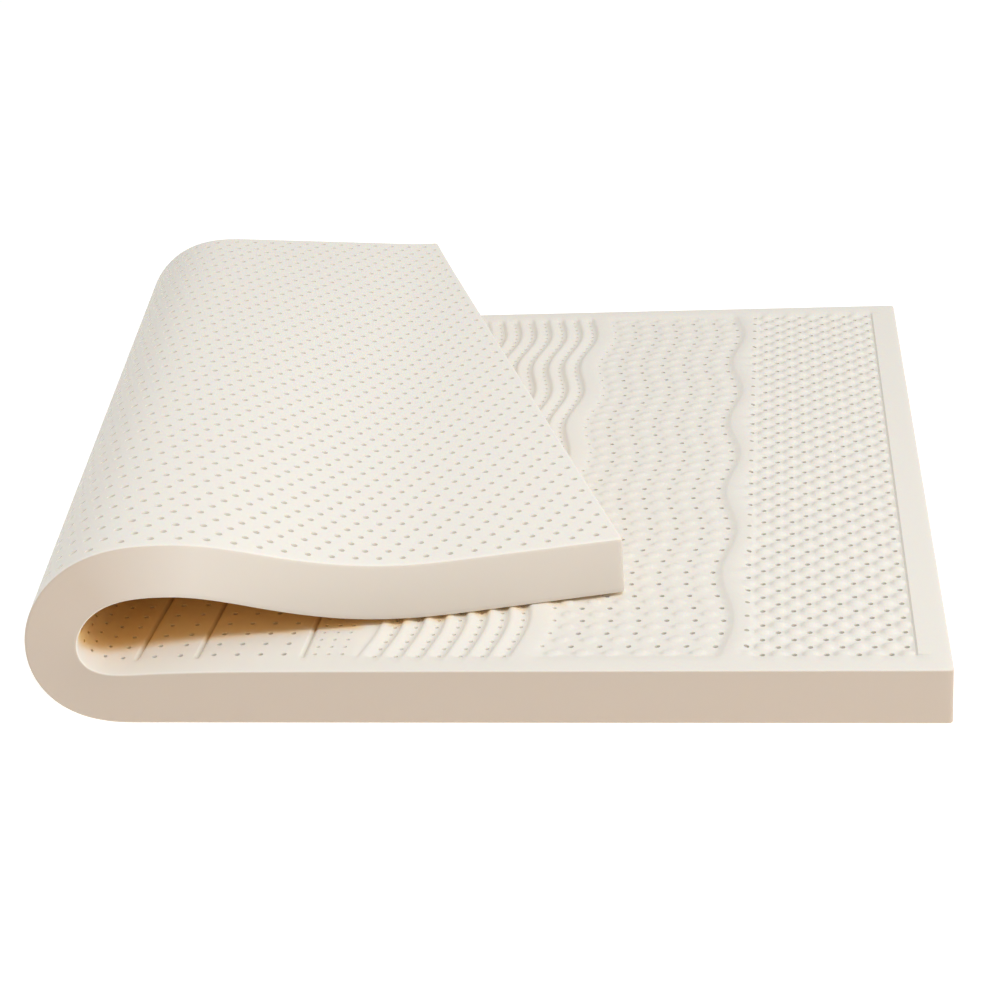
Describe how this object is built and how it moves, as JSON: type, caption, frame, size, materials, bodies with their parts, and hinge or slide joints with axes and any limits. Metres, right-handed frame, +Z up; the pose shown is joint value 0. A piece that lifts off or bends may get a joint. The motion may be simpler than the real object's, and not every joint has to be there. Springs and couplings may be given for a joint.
{
  "type": "folded latex mattress topper",
  "caption": "Thick moulded latex foam mattress topper folded over once, with a smooth underside outward and a ridged, bumpy relief side inward.",
  "frame": {"origin": "centre of the bounding box, at the flat face of the floor leaf that the topper rests on", "axes": "+Z up; the topper's length is folded along X with the bend towards -X; the bare end of the floor leaf faces +X; the near edge, which shows the bend's side, faces -Y"},
  "size_m": [1.4208, 1.6688, 0.2312],
  "materials": {
    "latex_foam": "matte"
  },
  "bodies": {
    "root": {"topper_slab": "latex_foam"}
  },
  "joints": []
}
